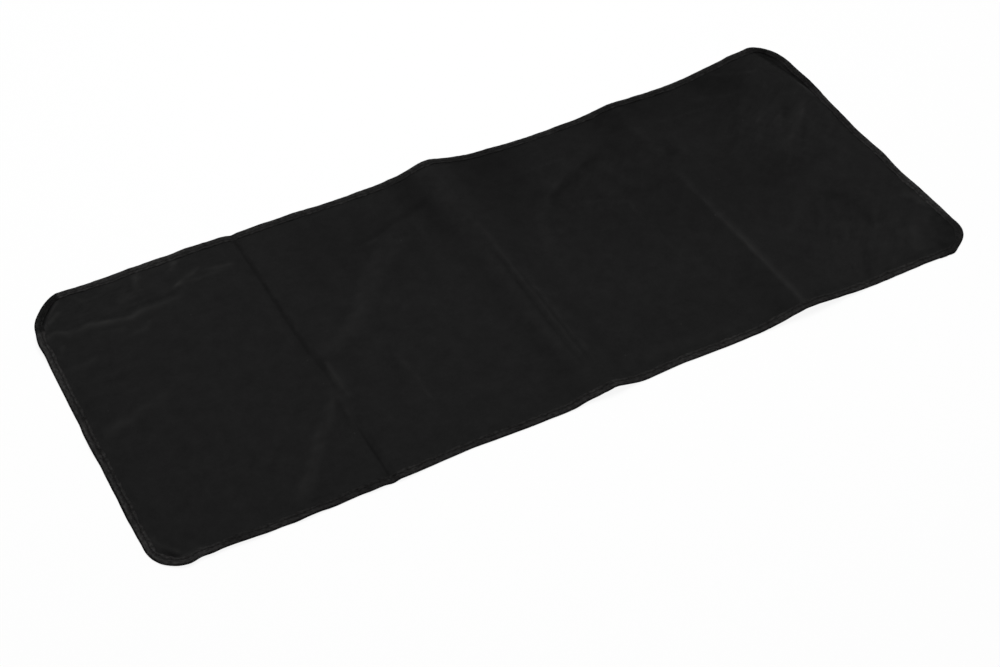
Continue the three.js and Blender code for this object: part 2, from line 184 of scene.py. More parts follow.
wrinkles = [  # in the finished plan, on the panel alone; the fourth value of each paints a highlight into the colour above 0 and shade below 0
    # painted shade along the left crease's own line, which breaks off and starts again, and a painted
    # highlight on its lip
    fold([(-247, 196), (-245.8, 100), (-245, 0), (-243.2, -54)], (-1.1, -1), (3.3, 3.5), -0.35,
         fade=(0.02, 0.3), wobble=0.12),
    fold([(-244.2, -96), (-243.3, -150), (-243.2, -197)], (-0.9, -1), 3.2, -0.62, fade=(0.5, 0.02),
         wobble=0.12),
    fold([(-243, -50), (-243, -85), (-243, -130), (-242, -200)], 0, (10, 13), 0.15, "soft",
         fade=(0.15, 0.02)),
    fold([(-241.5, 190), (-240.5, 60), (-239.5, -30)], 0.4, 5, 0.14),
    fold([(-236, -22), (-236, -46), (-235, -63), (-233, -86)], 0.9, (7, 6), 0.4, wobble=0.3),
    # a painted highlight on the middle ridge's top, and the lines pressed along it, painted lighter and
    # darker
    fold([(-6, 206), (-3, 100), (-2, 0), (0, -100), (8, -206)], 0, (24, 22), 0.05, "band",
         fade=(0.01, 0.3)),
    fold([(5, 206), (6, 140), (11, 60), (16, -15), (18, -70)], 0, (17, 10), -0.15, "soft",
         fade=(0.01, 0.3)),
    fold([(-13, 206), (-10, 140), (-9, 80)], 0, 7, 0.08, "soft", fade=(0.01, 0.4)),
    fold([(-15, -40), (-13, -90), (-7, -150), (-4, -196)], 0, (10, 11), 0.08, "soft", fade=(0.2, 0.05)),
    fold([(-4.6, 60), (-4.6, 0), (-4, -60), (-1.5, -175)], (-0.45, -0.5), 3.2, -0.16, wobble=0.5),
    fold([(1, 90), (2, 0), (3, -60), (4, -175)], 0.3, (4, 3), 0.16, wobble=0.4),
    fold([(5, 30), (6, -60), (7.5, -170)], -0.3, 3, -0.13, wobble=0.5),
    fold([(10, 0), (11, -70), (13, -175)], 0.3, (4, 5), 0.12),
    fold([(-12, 60), (-12, -40), (-9, -130)], 0.3, 7, 0.08),
    # the right ridge's sharp line, with a painted highlight
    fold([(248.6, 70), (250.4, -5), (253, -85), (254, -120)], (0.4, 0.6), (10, 5), 0.27,
         fade=(0.3, 0.2), wobble=0.4),
    fold([(250, -10), (253, -85), (254, -135), (256, -196)], (0.5, 0.9), (10, 5), 0.46,
         fade=(0.6, 0.02), wobble=0.3),
    fold([(245, 60), (246, -5), (249, -85), (250, -135), (252, -190)], -0.3, (4, 5), -0.06, wobble=0.4),
    fold([(246, 200), (247, 120), (248, 70)], 0.3, (14, 8), 0.11, "soft"),
    fold([(262, 122), (264, 70)], 0, (18, 14), -0.11, "soft"),
    fold([(234, -80), (228, -140), (236, -196)], 0, (22, 20), -0.13, "soft", fade=(0.5, 0.02)),
    fold([(216, 198), (219, 150), (206, 100)], 0, (32, 28), -0.12, "soft"),
    # the long diagonal with a painted highlight, and the crease above it with painted shade
    fold([(-52, 135), (-101, 100), (-131, 77), (-166, 34), (-191, 10), (-216, -4), (-242, -22)],
         (0.6, 0.9), (26, 15), 0.2, "soft"),
    fold([(-140, 120), (-105, 124), (-80, 131), (-50, 139), (-22, 146)], (-0.5, -0.8), (9, 8), -0.15,
         "soft"),
    fold([(-132, 113), (-100, 117), (-85, 126), (-70, 130), (-54, 133)], 0.5, (7, 6), 0.12),
    fold([(-246, -62), (-262, -89), (-280, -108), (-293, -126), (-306, -144), (-320, -161),
         (-336, -184)], (1.2, 1.1), (15, 12), 0.34, fade=(0.2, 0.12)),
    # in from the left edge
    fold([(-482, -14), (-452, -7), (-420, 2), (-385, 14), (-356, 30)], (1.2, 0.8), (11, 14), 0.24,
         "soft", fade=(0.04, 0.6)),
    fold([(-486, 137), (-470, 141), (-458, 136), (-445, 136), (-432, 138), (-418, 136), (-405, 132),
         (-392, 130), (-378, 134), (-362, 134), (-345, 134), (-330, 138), (-320, 147)], (1.4, 0.9),
         (6, 7), 0.56, fade=(0.02, 0.25), wobble=0.5),
    fold([(-398, 139), (-380, 143), (-350, 145), (-322, 148)], -0.5, 4, -0.2),
    fold([(-352, 151), (-318, 152), (-290, 152), (-262, 150)], 0.5, 4, 0.2),
    fold([(-338, 149), (-322, 156), (-310, 162), (-296, 172)], (0.9, 0.7), 5, 0.5),
    fold([(-302, 165), (-285, 159), (-272, 156), (-258, 153)], (0.6, 0.5), (5, 6), 0.3),
    fold([(-359, 197), (-364, 186), (-368, 176), (-372, 163)], 1, (8, 6), 0.5, fade=(0.05, 0.4)),
    fold([(-352, 188), (-332, 190), (-300, 191)], (0.4, 0.3), 7, 0.14, "soft"),
    fold([(-362, 166), (-382, 161), (-399, 157)], 0.7, 8, 0.16, "soft"),
    fold([(-316, 192), (-322, 183), (-328, 174)], 0.8, (6, 5), 0.36),
    fold([(-404, 103), (-384, 108), (-369, 121)], 0.6, (8, 6), 0.22),
    fold([(-430, 124), (-412, 119), (-398, 117)], 0.5, 6, 0.18),
    fold([(-484, 88), (-462, 90), (-440, 92)], (0.6, 0.5), 7, 0.2),
    fold([(-483, 108), (-474, 113), (-466, 124)], (0.6, 0.5), 5, 0.3),
    fold([(-440, 193), (-433, 183), (-427, 172)], (0.6, 0.5), 5, 0.25),
    # the far left corner's chord with a painted highlight, and painted shade on the cloth turned down
    # beyond it
    fold([(-484, 146), (-476, 158), (-463, 174), (-451, 190), (-444, 200)], 0.6, 4, 0.6,
         fade=(0.05, 0.05), wobble=0.2),
    fold([(-480, 151), (-468, 160), (-453, 170)], 0.7, (6, 5), 0.5, wobble=0.3),
    fold([(-487, 152), (-476, 176), (-458, 194), (-449, 201)], 0, (9, 10), -0.6, "band", wobble=0.2),
    # the near left corner, drawn tight by its binding
    fold([(-480, -148), (-471, -170), (-457, -184)], 0.5, 5, 0.34),
    fold([(-468, -187), (-452, -187), (-434, -186)], 0.3, 3, 0.4),
    fold([(-478, -170), (-468, -182), (-458, -188)], 0, 5, -0.5),
    # a small crease on the second panel
    fold([(-163, -38), (-161, -90), (-158, -134)], 0.5, 5, 0.17),
    fold([(-166, -40), (-174, -76), (-182, -104)], -0.4, 9, -0.1, "soft"),
    # the third panel
    fold([(55, -2), (64, 28), (84, 73), (104, 92), (126, 104), (154, 121)], (0.6, 0.8), (15, 9), 0.13,
         "soft"),
    fold([(93, 62), (106, 83), (120, 92), (150, 107), (188, 123), (208, 134)], -0.5, (10, 11), -0.13,
         "soft"),
    fold([(122, 69), (150, 55), (174, 42), (177, 28), (178, 8)], (0.5, 0.4), 6, 0.13),
    fold([(178, 8), (180, -30), (181, -72)], 0.3, 6, 0.05),
    fold([(74, 139), (116, 139), (159, 140)], 0.3, 5, 0.1),
    fold([(248, 70), (262, 82), (278, 92)], (-0.5, -0.4), (11, 10), -0.17, "soft"),
    fold([(54, -166), (100, -176), (196, -180)], 0, (14, 12), 0.1, "soft"),
    # the right panel
    fold([(270, 140), (320, 140), (372, 141)], 0.3, 5, 0.08),
    fold([(345, 186), (385, 172), (424, 150)], -0.6, (24, 20), -0.1, "soft"),
    fold([(378, 192), (392, 181), (412, 171), (432, 163), (442, 166)], 0.6, (5, 6), 0.2),
    fold([(328, 163), (370, 151), (408, 140)], 0.4, 7, 0.08, "soft"),
    fold([(474, 101), (462, 92), (450, 83), (441, 76), (432, 62)], (0.9, 1.1), (7, 6), 0.36,
         fade=(0.55, 0.45)),
    fold([(446, 80), (420, 56), (396, 38), (372, 14)], (0.8, 0.6), (14, 12), 0.15, "soft"),
    fold([(438, 100), (430, 88), (420, 78)], -0.4, 7, -0.14, "soft"),
    fold([(340, 16), (372, 6), (402, 0), (440, 22)], 0, (26, 24), -0.1, "soft"),
    fold([(398, -40), (397, -70), (404, -102), (398, -122)], 0, (20, 22), -0.2, "soft"),
    fold([(402, -18), (350, -55), (298, -102)], 0, 16, 0.07, "soft"),
    fold([(462, -90), (473, -102), (479, -120), (480, -130)], 0.6, (14, 10), 0.3, "soft"),
    fold([(474, -122), (458, -136), (438, -150), (428, -170)], 0.5, (18, 14), 0.13, "soft"),
    fold([(440, -150), (431, -163), (424, -186)], 0.5, (12, 10), 0.12, "soft"),
    fold([(347, -156), (344, -168), (340, -180)], 0.4, 5, 0.15),
    fold([(374, -146), (360, -168), (348, -192)], -0.4, 8, -0.16, "soft"),
    fold([(484, -134), (480, -160), (466, -180), (442, -190)], -0.5, (20, 22), -0.3, "soft",
         fade=(0.15, 0.2)),
    # painted shade on the steep side of the far right corner, and a painted highlight on the end of its
    # ridge
    fold([(451, 208), (456, 194), (462.4, 181), (468, 164), (474.7, 146), (481.7, 118), (485, 97)], 0,
         (14, 9), -0.62, "band", fade=(0.1, 0.15), wobble=0.4, endReach=(6, 3)),
    fold([(473, 128), (477.5, 112), (480, 97)], 0.5, (3, 6), 0.5, wobble=0.3),
]
lineWobble = ((32, 0.8, 41), (12, 0.3, 43))  # wavelength, height and seed, as in uneven
# how much the painted light and shade of a fold varies in patches, more where its line wobbles
patchyPaintedLight = {"wavelength": 18, "seed": 42, "most": 0.24, "perWobble": 0.4, "limits": (0.2, 1.8)}


def smoothPath(points, steps=4):
    # a Catmull-Rom curve through the points
    p = np.array([points[0], *points, points[-1]], float)
    curve = []
    for i in range(1, len(p) - 2):
        for t in np.arange(steps) / steps:
            curve.append(0.5 * (2 * p[i] + (p[i + 1] - p[i - 1]) * t
                                + (2 * p[i - 1] - 5 * p[i] + 4 * p[i + 1] - p[i + 2]) * t**2
                                + (3 * p[i] - p[i - 1] - 3 * p[i + 1] + p[i + 2]) * t**3))
    return np.array([*curve, p[-1]])


def followPath(path, x, y):
    # the share of the path's length passed at each point, and how far to its left the point is
    curve = smoothPath(path)
    runs = np.diff(curve, axis=0)
    lengths = np.hypot(*runs.T)
    passed = np.concatenate([[0], np.cumsum(lengths)])
    nearest = np.full(x.shape, np.inf)
    share, leftOf = np.zeros(x.shape), np.zeros(x.shape)
    for start, run, length, before in zip(curve, runs, lengths, passed):
        dx, dy = x - start[0], y - start[1]
        along = np.clip((dx * run[0] + dy * run[1]) / length**2, 0, 1)
        distance = np.hypot(dx - along * run[0], dy - along * run[1])
        closer = distance < nearest
        nearest = np.where(closer, distance, nearest)
        share = np.where(closer, (before + along * length) / passed[-1], share)
        leftOf = np.where(closer, np.sign(run[0] * dy - run[1] * dx) * distance, leftOf)
    return share, leftOf


def foldParts(row, x, y, wobble=0):
    # a fold's height and its painted light and shade, worked out only near it
    room = max(row["reach"]) + 2  # the reach, and a little for the wobble
    low, high = np.min(row["path"], axis=0) - room, np.max(row["path"], axis=0) + room
    near = (x > low[0]) & (x < high[0]) & (y > low[1]) & (y < high[1])
    height, toneAndPaintedLight = np.zeros(x.shape), np.zeros(x.shape)
    if near.any():
        x, y = x[near], y[near]
        share, leftOf = followPath(row["path"], x, y)
        stray = wobble if row["wobble"] is None else row["wobble"]
        leftOf = leftOf + stray * uneven(lineWobble, x, y)
        fade = smoothStep(share / row["fade"][0]) * smoothStep((1 - share) / row["fade"][1])
        reach = np.where(leftOf > 0, *(mix(ends, share) for ends in zip(row["reach"], row["endReach"])))
        section = crossSections[row["shape"]](leftOf / reach) * fade
        height[near] = mix(row["height"], share) * section
        patches = ripples(x, y, patchyPaintedLight["wavelength"], patchyPaintedLight["seed"])
        patchy = 1 + min(patchyPaintedLight["most"], patchyPaintedLight["perWobble"] * stray) * patches
        toneAndPaintedLight[near] = row["toneAndPaintedLight"] * section * np.clip(patchy, *patchyPaintedLight["limits"])
    return height, toneAndPaintedLight


def foldHeights(folds, x, y, wobble=0):
    return sum(foldParts(row, x, y, wobble)[0] for row in folds)


def foldPaintedLight(folds, x, y, wobble=0):
    return sum(foldParts(row, x, y, wobble)[1] for row in folds)


def crumpled(x, y):
    # the height and the painted light and shade of the crumpled places
    height, toneAndPaintedLight = np.zeros(x.shape), np.zeros(x.shape)
    for number, (middle, reach, bearing, width, lift, paintedLightAndShade) in enumerate(crumples):
        dx, dy = x - middle[0], y - middle[1]
        near = bell(np.hypot(dx / reach[0], dy / reach[1]))
        turn = math.radians(bearing)
        along = (dx * math.cos(turn) + dy * math.sin(turn)) / streaks["stretch"]
        across = dy * math.cos(turn) - dx * math.sin(turn)
        waves = ((width, streaks["coarse"], streaks["coarseSeed"] + number),
                 (streaks["fineWidth"] * width, streaks["fine"], streaks["fineSeed"] + number))
        wave = near * uneven(waves, along, across)
        height, toneAndPaintedLight = height + lift * wave, toneAndPaintedLight + paintedLightAndShade * wave
    return height, toneAndPaintedLight


def creaseLift(crease, x, y):
    farShare = y / cover["width"] + 0.5
    reach = np.where(x < crease["at"], mix(crease["leftReach"], farShare),
                     mix(crease["rightReach"], farShare))
    return mix(crease["height"], farShare) * crossSections[crease["shape"]]((x - crease["at"]) / reach)


def broadLift(x, y):
    # the creases and swells, in the even plan
    return sum(creaseLift(crease, x, y) for crease in creases) + foldHeights(swells, x, y)


def slopeShade(x, y):
    # painted shade: the colour darkens wherever the cloth slopes, as under a lamp overhead, but less so
    # along the middle ridge, whose top is painted as lit
    across = (broadLift(x + 1, y) - broadLift(x - 1, y)) / 2
    along = (broadLift(x, y + 1) - broadLift(x, y - 1)) / 2
    onRidge = crossSections["band"]((x - cloth["litRidge"]["at"]) / cloth["litRidge"]["reach"])
    steep = np.clip(across**2 + along**2, 0, cloth["steepest"])
    return -cloth["slopeShade"] * steep * (1 - cloth["litRidge"]["share"] * onRidge)


def leanOf(x, y):
    farShare = y / cover["width"] + 0.5
    return sum(mix(c["shift"], farShare) * bell((x - c["at"]) / cover["leanReach"]) for c in creases)


def waveAt(side, along, distanceIn):
    depth = np.clip(1 - distanceIn / cover["waveDepth"], 0, 1) ** 2
    return sum(out * bell((along - at) / reach) * depth for at, reach, out in cover["edgeWaves"][side])


def unevenPlan(x, y):
    # where a point of the even plan lies in the finished one
    halfLength, halfWidth = cover["length"] / 2, cover["width"] / 2
    corner = cover["drawnCorner"]
    away = np.hypot(x - corner["sideX"] * halfLength, y - corner["sideY"] * halfWidth)
    pull = corner["pull"] * math.sqrt(0.5) * bell(away / corner["reach"])
    return (
        x + leanOf(x, y) + waveAt("right", y, halfLength - x) - waveAt("left", y, halfLength + x)
        - corner["sideX"] * pull,
        y + waveAt("far", x, halfWidth - y) - waveAt("near", x, halfWidth + y) - corner["sideY"] * pull,
    )


def edgeFrame(x, y):
    # how far in from the outline a point is, the nearest point of the inner rectangle, the way out
    cornerX, cornerY = np.clip(x, -innerX, innerX), np.clip(y, -innerY, innerY)
    outX, outY = x - cornerX, y - cornerY
    reach = np.hypot(outX, outY)
    safe = np.maximum(reach, 1e-9)
    return cover["cornerRadius"] - reach, cornerX, cornerY, outX / safe, outY / safe


def stripMiddle(cornerX, cornerY, outX, outY):
    middle = cover["cornerRadius"] - cover["bindingWidth"] / 2
    return cornerX + middle * outX, cornerY + middle * outY


cloth = {
    "thickness": 0.6,
    "clearance": 0.1,  # the lowest part of the underside is this far above the surface
    "loft": 0.7,  # how far the even cloth lies above that
    "settling": 0.2,  # how softly dips level out as they near the surface
    "rawEdgeInset": 1.6,
    "riseInBinding": 1.15,  # of its upper face, above the binding's underside
    "slopeFoot": 18,  # past the binding it slopes down as far in as this
    "unevenness": ((95, 0.24, 3), (38, 0.11, 5), (17, 0.04, 8)),
    # drawn up by the stitching, in puckers that run in from it
    "puckerHeight": 0.2, "puckerWavelength": 16, "puckerReach": 26, "puckerSlant": 0.25, "puckerSeed": 21,
    "wobble": 0.9,  # of the wrinkles' lines
    "slopeShade": 1.8, "steepest": 0.36,
    "litRidge": {"at": 1, "reach": 28, "share": 0.85},
    "spacing": 5, "cornerSteps": 14,
    "ringInsets": (6, 9.5, 10.6, 12, 14, 17, 21, 26, 31, 35.5),
    "refineRounds": 3, "refineError": 0.046, "shortestEdge": 1.1,
}


def clothTop(x, y):
    # height of the panel's upper face, by its place in the even plan
    planX, planY = unevenPlan(x, y)
    inset, *edge = edgeFrame(x, y)
    fine = foldHeights(wrinkles, planX, planY, cloth["wobble"])
    fine = fine + crumpled(planX, planY)[0] + uneven(cloth["unevenness"], planX, planY)
    pucker = bell(np.clip(inset - cover["bindingWidth"], 0, None) / cloth["puckerReach"])
    along = np.where(np.abs(edge[2]) > np.abs(edge[3]), planY, planX)
    fine = fine + cloth["puckerHeight"] * pucker * ripples(
        along, cloth["puckerSlant"] * inset, cloth["puckerWavelength"], cloth["puckerSeed"])
    loose = fine + cloth["loft"]
    lying = 0.5 * (loose + np.hypot(loose, cloth["settling"]))  # never below the surface

    outside = smoothStep((inset - cover["bindingWidth"]) / (cloth["slopeFoot"] - cover["bindingWidth"]))
    base = broadLift(x, y) + cloth["thickness"] + cloth["clearance"] + lying * outside
    bound = broadLift(*stripMiddle(*edge)) + cloth["riseInBinding"]
    return np.where(inset < cover["cornerRadius"], bound + (base - bound) * outside, base)


def broadShade(x, y):
    return slopeShade(x, y) + foldPaintedLight(tones, x, y)


# the cloth's painted light and shade: its slopes and broad tones, and the crumples' and wrinkles' painted
# highlights and shade
def clothToneAndPaintedLight(x, y):
    planX, planY = unevenPlan(x, y)
    return (broadShade(x, y) + crumpled(planX, planY)[1]
            + foldPaintedLight(wrinkles, planX, planY, cloth["wobble"]))


def evenSteps(half, spacing):
    return np.linspace(-half, half, round(2 * half / spacing) + 1)


def edgeStations(spacing, cornerSteps):
    # round the inner rectangle from the near left, counter-clockwise: its points and the way out
    columns, rows = evenSteps(innerX, spacing), evenSteps(innerY, spacing)
    fan = np.arange(1, cornerSteps) / cornerSteps * math.pi / 2
    stations = []
    for corner, (cornerX, cornerY) in enumerate(((1, -1), (1, 1), (-1, 1), (-1, -1))):
        angle = (corner - 1) * math.pi / 2
        side = columns if corner % 2 == 0 else rows
        for step in side if corner < 2 else side[::-1]:
            place = (step, cornerY * innerY) if corner % 2 == 0 else (cornerX * innerX, step)
            stations.append((*place, angle))
        stations += [(cornerX * innerX, cornerY * innerY, angle + turn) for turn in fan]
    x, y, angle = np.array(stations).T
    return x, y, np.cos(angle), np.sin(angle)


def flatPanel():
    # the panel in the even plan, as a flat mesh of quads: rings round a grid
    columns, rows = evenSteps(innerX, cloth["spacing"]), evenSteps(innerY, cloth["spacing"])
    x, y, outX, outY = edgeStations(cloth["spacing"], cloth["cornerSteps"])
    mesh = bmesh.new()
    rings = [
        [mesh.verts.new((px, py, 0)) for px, py in zip(x + reach * outX, y + reach * outY)]
        for reach in cover["cornerRadius"] - np.array([cloth["rawEdgeInset"], *cloth["ringInsets"]])
    ]
    grid = {(px, py): mesh.verts.new((px, py, 0)) for px in columns for py in rows}
    rings.append([grid[place] for place in zip(x, y)])
    for outer, inner in zip(rings, rings[1:]):
        for here in range(len(outer)):
            after = (here + 1) % len(outer)
            mesh.faces.new(dict.fromkeys((outer[here], outer[after], inner[after], inner[here])))
    for left, right in zip(columns, columns[1:]):
        for low, high in zip(rows, rows[1:]):
            mesh.faces.new((grid[left, low], grid[right, low], grid[right, high], grid[left, high]))
    return mesh


def refinePanel(mesh):
    # splits the faces where the folds bend more than the mesh can follow
    for _ in range(cloth["refineRounds"]):
        ends = np.array([[*e.verts[0].co.xy, *e.verts[1].co.xy] for e in mesh.edges])
        first, second = ends[:, :2].T, ends[:, 2:].T
        heights = [clothTop(*points) for points in (first, (first + second) / 2, second)]
        error = np.abs(heights[1] - (heights[0] + heights[2]) / 2)
        long = np.hypot(*(second - first)) > cloth["shortestEdge"] * 2
        split = (error > cloth["refineError"]) & long
        bent = {e for e, isBent in zip(mesh.edges, split) if isBent}
        bentFaces = {f for f in mesh.faces if any(e in bent for e in f.edges)}
        chosen = [e for e in mesh.edges if any(f in bentFaces for f in e.link_faces)]
        bmesh.ops.subdivide_edges(mesh, edges=chosen, cuts=1, use_grid_fill=True, use_single_edge=True,
                                  quad_corner_type="INNER_VERT")
        bmesh.ops.remove_doubles(mesh, verts=mesh.verts, dist=cloth["shortestEdge"] / 10)
    bmesh.ops.triangulate(mesh, faces=[f for f in mesh.faces if len(f.verts) > 4])


def storePaintedLightAndShade(mesh, toneAndPaintedLight):
    # the painted highlights and painted shade, with some tone that varies at random, as two masks
    for name, mask in (("paintedHighlight", toneAndPaintedLight), ("paintedShade", -toneAndPaintedLight)):
        values = np.clip(mask, 0, 1).astype(np.float32)
        mesh.attributes.new(name, "FLOAT", "POINT").data.foreach_set("value", values)


def addObject(name, mesh):
    piece = bpy.data.objects.new(name, mesh)
    bpy.context.scene.collection.objects.link(piece)
    return piece


def asPlainMesh(source, name):
    # the evaluated result as a new object of its own, without the modifiers
    depsgraph = bpy.context.evaluated_depsgraph_get()
    mesh = bpy.data.meshes.new_from_object(source.evaluated_get(depsgraph), depsgraph=depsgraph)
    mesh.name = name
    bpy.data.objects.remove(source)
    return addObject(name, mesh)


def makeClothPanel():
    flat = flatPanel()
    refinePanel(flat)
    mesh = bpy.data.meshes.new("clothPanel")
    flat.to_mesh(mesh)
    flat.free()
    points = np.empty(len(mesh.vertices) * 3)
    mesh.vertices.foreach_get("co", points)
    x, y, _ = points.reshape(-1, 3).T
    planX, planY = unevenPlan(x, y)
    mesh.vertices.foreach_set("co", (np.stack([planX, planY, clothTop(x, y)], 1) * mm).ravel())
    storePaintedLightAndShade(mesh, clothToneAndPaintedLight(x, y))
    uvMap = mesh.uv_layers.new(name="clothPlan")
    corner = np.empty(len(mesh.loops), int)
    mesh.loops.foreach_get("vertex_index", corner)
    uvMap.data.foreach_set("uv", (np.stack([x, y], 1)[corner] * mm).ravel())
    mesh.shade_smooth()
    sheet = addObject("sheetSource", mesh)
    solidify = sheet.modifiers.new("thickness", "SOLIDIFY")
    solidify.thickness = cloth["thickness"] * mm
    solidify.offset = -1
    return asPlainMesh(sheet, "cloth_panel")


clothPanel = makeClothPanel()
print("cloth panel:", len(clothPanel.data.polygons), "faces")

# The binding is a tape folded round the edge. Its section runs from the lower lip out round the
# edge, in over the top and back along the inside: inset, rise, how much the point follows the
# unevenness of the top, of the lip and of the rolled edge, and its painted light and shade:
# highlights on the top of the roll and on the lip, shade on the roll's outer side, in the stitch
# groove and under the lip.
binding = {
    "stationSpacing": 2, "cornerSteps": 32,
    "section": [
        (9.9, 0.3, 0, 0.5, 0, 0), (9.4, 0.12, 0, 0, 0, 0), (6.7, 0.1, 0, 0, 0, 0),
        (3.5, 0.08, 0, 0, 0.3, 0), (1.5, 0.1, 0, 0, 0.8, -0.5), (0.75, 0.3, 0, 0, 1, -0.6),
        (0.25, 0.7, 0.2, 0, 1, -0.6), (0, 1.15, 0.4, 0, 1, -0.6), (0.2, 1.65, 0.6, 0, 1, -0.6),
        (0.7, 2.08, 0.8, 0, 1, -0.6), (1.4, 2.26, 1, 0, 0.8, -0.12), (2.6, 2.34, 1, 0, 0.3, 0.45),
        (3.8, 2.28, 1, 0, 0, 0.28), (4.9, 2.14, 0.8, 0, 0, 0.14), (5.7, 1.98, 0.5, 0, 0, 0.03),
        (6.2, 1.9, 0.2, 0, 0, -0.04), (6.7, 1.84, 0.1, 0, 0, -0.1), (7.1, 1.88, 0.2, 0, 0, 0.04),
        (7.5, 1.95, 0.5, 0.2, 0, 0.16), (8.1, 2, 0.9, 0.5, 0, 0.24), (8.8, 1.97, 1, 0.8, 0, 0.14),
        (9.4, 1.84, 1, 1, 0, 0.04), (9.9, 1.66, 0.8, 1, 0, 0), (10.15, 1.5, 0.3, 1, 0, 0),
        (9.95, 1.36, 0, 1, 0, -0.1), (9.4, 1.28, 0, 0.6, 0, -0.1), (6.5, 1.27, 0, 0, 0, 0),
        (2, 1.27, 0, 0, 0, 0), (1.1, 1.1, 0, 0, 0, 0), (0.95, 0.87, 0, 0, 0, 0),
        (1.1, 0.64, 0, 0, 0, 0), (2, 0.47, 0, 0, 0, 0), (6.5, 0.47, 0, 0, 0, 0),
        (9.4, 0.45, 0, 0, 0, 0),
    ],
    "groove": (6.7, 1.84),  # the point of the section that the top stitches pull down
    # along the edge, each as wavelength, height and seed
    "topUneven": ((24, 0.12, 31), (8, 0.09, 32)),
    "lipUneven": ((30, 0.3, 33), (10, 0.2, 34)),
    "rollUneven": ((60, 0.22, 35), (20, 0.08, 36)),
    "wearUneven": ((70, 0.08, 37), (14, 0.08, 38)),
    "contrastUneven": ((45, 0.3, 39), (16, 0.12, 40)),
    "cornerPucker": 0.2, "cornerPuckerCount": 9,
    # where the tape's ends overlap on the near side: distance along it, length and rise
    "joins": ((440, 11, 0.4), (886, 13, 0.5)),
    "joinStart": 1.5, "joinEnd": 3, "joinOut": 0.5,  # how soon one rises and falls, how far it stands out
    # the storage creases nick the tape: side, place, depth, reach
    "nicks": [("far", -243, 0.7, 5), ("near", -243, 0.6, 5), ("far", 257, 0.35, 5),
              ("near", 257, 0.3, 5), ("far", 4, 0.25, 6), ("near", 4, 0.25, 6)],
    "foldShare": 0.5,  # how much of the cloth's shading by its folds the tape shows
    "darkestFold": -0.8,
    # how strongly each side shows the painted light and shade of the section, as the light falls on it, and
    # a place that hardly does
    "sideContrast": {"left": 1.4, "near": 0.62, "right": 0.74, "far": 0.74},
    "flattened": {"x": 476, "y": -182, "reach": 46},
    # painted shade and light on the tape alone, with no height: shade where it is turned down at the
    # far left corner past its chord and rolled under at the two right ones, and painted highlights and
    # shade in places
    "folds": [
        fold([(-487, 148), (-473, 180), (-450, 198)], 0, 14, -1.1, "band", fade=(0.1, 0.1)),
        fold([(-449, 192), (-443, 203)], 0, 4, 1),
        fold([(486, -152), (477, -176), (462, -190), (436, -196)], 0, 14, -0.24, "band"),
        fold([(440, 204), (478, 186), (488, 130), (488, 104)], 0, 14, -0.34, "band", fade=(0.2, 0.1)),
        fold([(-487, 156), (-487, 100), (-487, 40)], 0, 14, 0.26, "band", fade=(0.05, 0.4)),
        fold([(-487, -10), (-487, -70)], 0, 14, 0.16, "band"),
        fold([(-487, -110), (-480, -174), (-458, -196), (-400, -198)], 0, 14, 0.26, "band",
             fade=(0.3, 0.4)),
        fold([(490, -60), (491, -100), (491, -156)], 0, (8, 10), 0.4, "band"),
        fold([(50, -198), (120, -199), (200, -198)], 0, 14, 0.14, "band"),
        fold([(-14, -192), (-4, -193)], 0, 5, 0.4),
        fold([(11, -194), (24, -196)], 0, 6, 0.5),
        fold([(-450, -197), (-320, -198), (-190, -198)], 0, 14, -0.12, "band"),
        fold([(-440, 199), (-340, 199), (-180, 199)], 0, 8, 0.1),
    ],
}


def bindingStations():
    return edgeStations(binding["stationSpacing"], binding["cornerSteps"])


def bindingRing(stations, inset, rise, topShare=0, lipShare=0, rollShare=0):
    # one line of points round the whole binding, at a place in its section
    x, y, outX, outY = stations
    edgeX, edgeY = x + cover["cornerRadius"] * outX, y + cover["cornerRadius"] * outY
    inset = (inset + lipShare * uneven(binding["lipUneven"], edgeX, edgeY)
             + rollShare * uneven(binding["rollUneven"], edgeX, edgeY))
    top = uneven(binding["topUneven"], edgeX, edgeY)
    turn = np.arctan2(np.abs(outY), np.abs(outX)) / (math.pi / 2)
    inCorner = np.where((turn > 0) & (turn < 1), np.sin(turn * math.pi), 0)
    puckers = np.sin(turn * binding["cornerPuckerCount"] * 2 * math.pi)
    top += binding["cornerPucker"] * inCorner * puckers * lipShare
    onSide = {"far": outY > 0.999, "near": outY < -0.999}  # the straights alone
    for side, at, depth, reach in binding["nicks"]:
        top -= np.where(onSide[side], depth * bell((x - at) / reach), 0)
    alongNear = onSide["near"] * (x + innerX)
    for at, length, height in binding["joins"]:
        overlap = (smoothStep((alongNear - at) / binding["joinStart"])
                   * smoothStep((at + length - alongNear) / binding["joinEnd"]))
        top += height * overlap
        inset = inset - binding["joinOut"] * overlap * rollShare
    planX, planY = unevenPlan(x + (cover["cornerRadius"] - inset) * outX,
                              y + (cover["cornerRadius"] - inset) * outY)
    lift = broadLift(*stripMiddle(x, y, outX, outY))
    return np.stack([planX, planY, lift + rise + topShare * top], 1)


def stripToneAndPaintedLight(stations):
    # along the binding, the painted light and shade from the folds and slopes it follows, and a tone that
    # varies at random
    x, y = stripMiddle(*stations)
    planX, planY = unevenPlan(x, y)
    folded = foldPaintedLight(wrinkles, planX, planY) * binding["foldShare"]
    folded = folded + foldPaintedLight(binding["folds"], planX, planY)
    shade = np.clip(broadShade(x, y) + folded, binding["darkestFold"], 1)
    return shade + uneven(binding["wearUneven"], x, y)


